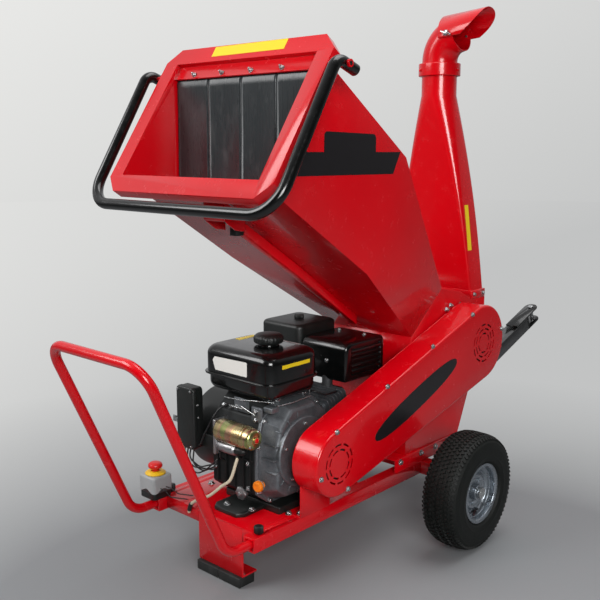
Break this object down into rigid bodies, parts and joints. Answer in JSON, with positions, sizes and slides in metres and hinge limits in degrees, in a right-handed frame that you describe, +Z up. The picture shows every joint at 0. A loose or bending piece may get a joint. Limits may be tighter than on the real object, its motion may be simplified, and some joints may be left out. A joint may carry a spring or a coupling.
{
  "type": "wood chipper",
  "caption": "Towable two-wheeled wood chipper: petrol engine, belt-driven rotor, tilted feed hopper with curtain and stop bar, swivelling discharge chute, tow bar.",
  "frame": {"origin": "middle of the bounding box on the floor under the machine", "axes": "+X towards the belt cover side, +Y from the handle to the tow hitch, +Z up"},
  "size_m": [0.86, 2.0478, 1.5331],
  "materials": {
    "red_paint": "glossy red powder coat",
    "black_paint": "gloss black paint",
    "black_plastic": "fine-grained black moulding",
    "rubber": "plain black rubber",
    "tyre": "black tyre rubber",
    "zinc": "bright galvanised",
    "steel": "machined steel",
    "cast_iron": "as cast",
    "cast_alloy": "grey die casting",
    "starter_plating": "yellow passivated zinc",
    "grey_plastic": "light grey moulding",
    "yellow_plastic": "yellow moulding",
    "red_plastic": "red moulding",
    "orange_plastic": "orange moulding",
    "cable_sleeve": "cream cable sheath"
  },
  "bodies": {
    "frame": {"side_rail_right": "red_paint", "side_rail_left": "red_paint", "axle_tube": "red_paint", "engine_tray": "red_paint", "front_leg": "red_paint", "stub_axle_right": "red_paint", "stub_axle_left": "red_paint", "housing_stand": "red_paint", "rotor_housing": "red_paint", "guard_back_plate": "red_paint", "belt_cover": "red_paint", "hopper": "red_paint", "cable_duct": "red_paint", "trip_bracket": "red_paint", "discharge_chute": "red_paint", "tow_bar": "black_paint", "hitch_clevis": "black_paint", "fuel_tank": "black_paint", "muffler_guard": "black_paint", "estop_base": "black_plastic", "trip_switch": "black_plastic", "engine_mount": "black_plastic", "air_cleaner": "black_plastic", "fan_cover": "black_plastic", "control_box": "black_plastic", "foot_pad_right": "rubber", "foot_pad_left": "rubber", "hopper_curtain": "rubber", "drive_belt": "rubber", "counter_knife": "steel", "bearing_right": "cast_iron", "bearing_left": "cast_iron", "crankcase": "cast_alloy", "cylinder": "cast_alloy", "starter_motor": "starter_plating", "estop_cover": "grey_plastic", "estop_collar": "yellow_plastic", "battery_lead": "cable_sleeve"},
    "wheel_right": {"tyre_right": "tyre", "rim_right": "zinc"},
    "wheel_left": {"tyre_left": "tyre", "rim_left": "zinc"},
    "rotor": {"rotor": "steel", "rotor_knife_1": "steel", "rotor_knife_2": "steel", "rotor_pulley": "cast_iron"},
    "crank": {"crankshaft": "steel", "engine_pulley": "cast_iron"},
    "elbow": {"chute_elbow": "red_paint"},
    "deflector": {"deflector": "red_paint"},
    "wing_nut": {"wing_nut": "zinc"},
    "handle": {"handle": "red_paint"},
    "knob_right": {"handle_knob_right": "black_plastic"},
    "knob_left": {"handle_knob_left": "black_plastic"},
    "stop_button": {"estop_button": "red_plastic"},
    "fuel_cap": {"fuel_cap": "black_plastic"},
    "oil_cap": {"oil_cap": "orange_plastic"},
    "key": {"key_switch": "zinc"},
    "safety_bar": {"safety_bar": "black_paint"},
    "hitch_pin": {"hitch_pin": "zinc"}
  },
  "joints": [
    {"name": "wheel_right_spin", "type": "hinge", "parent": "frame", "child": "wheel_right", "pos_m": [0.374, -0.07822, 0.165], "axis": [1, 0, 0], "continuous": true},
    {"name": "wheel_left_spin", "type": "hinge", "parent": "frame", "child": "wheel_left", "pos_m": [-0.374, -0.07822, 0.165], "axis": [1, 0, 0], "continuous": true},
    {"name": "rotor_spin", "type": "hinge", "parent": "frame", "child": "rotor", "pos_m": [0, 0.21478, 0.517], "axis": [1, 0, 0], "continuous": true},
    {"name": "crank_spin", "type": "hinge", "parent": "frame", "child": "crank", "pos_m": [0, -0.48422, 0.32], "axis": [1, 0, 0], "continuous": true},
    {"name": "elbow_swivel", "type": "hinge", "parent": "frame", "child": "elbow", "pos_m": [0, 0.28828, 1.337], "axis": [0, 0, 1], "range_deg": [-175, 175]},
    {"name": "deflector_tilt", "type": "hinge", "parent": "elbow", "child": "deflector", "pos_m": [0.06219, 0.28828, 1.46005], "axis": [0, 1, 0], "range_deg": [-6, 40]},
    {"name": "wing_nut_turn", "type": "hinge", "parent": "elbow", "child": "wing_nut", "pos_m": [0.06219, 0.28828, 1.46005], "axis": [0, -1, 0], "range_deg": [-180, 180]},
    {"name": "handle_slide", "type": "slide", "parent": "frame", "child": "handle", "axis": [0, -1, 0], "range_m": [0, 0.06]},
    {"name": "knob_right_turn", "type": "hinge", "parent": "frame", "child": "knob_right", "pos_m": [0.136, -0.67322, 0.1653], "axis": [0, 0, 1], "range_deg": [0, 360]},
    {"name": "knob_left_turn", "type": "hinge", "parent": "frame", "child": "knob_left", "pos_m": [-0.236, -0.65022, 0.1653], "axis": [0, 0, 1], "range_deg": [0, 360]},
    {"name": "stop_button_push", "type": "slide", "parent": "frame", "child": "stop_button", "axis": [0, 0, -1], "range_m": [0, 0.0045]},
    {"name": "fuel_cap_turn", "type": "hinge", "parent": "frame", "child": "fuel_cap", "pos_m": [-0.012, -0.48322, 0.6003], "axis": [0, 0, 1], "range_deg": [0, 90]},
    {"name": "oil_cap_turn", "type": "hinge", "parent": "frame", "child": "oil_cap", "pos_m": [0.07, -0.60352, 0.25], "axis": [0, -1, 0], "range_deg": [0, 360]},
    {"name": "key_turn", "type": "hinge", "parent": "frame", "child": "key", "pos_m": [-0.2123, -0.62622, 0.372], "axis": [-1, 0, 0], "range_deg": [0, 90]},
    {"name": "safety_bar_tilt", "type": "hinge", "parent": "frame", "child": "safety_bar", "pos_m": [0, -0.58968, 1.29708], "axis": [1, 0, 0], "range_deg": [-5, 5]},
    {"name": "hitch_pin_lift", "type": "slide", "parent": "frame", "child": "hitch_pin", "axis": [0, -0.3338, 0.9426], "range_m": [0, 0.055]}
  ],
  "couplings": [
    {"joint": "crank_spin", "follows": "rotor_spin", "ratio": 1.5556}
  ]
}
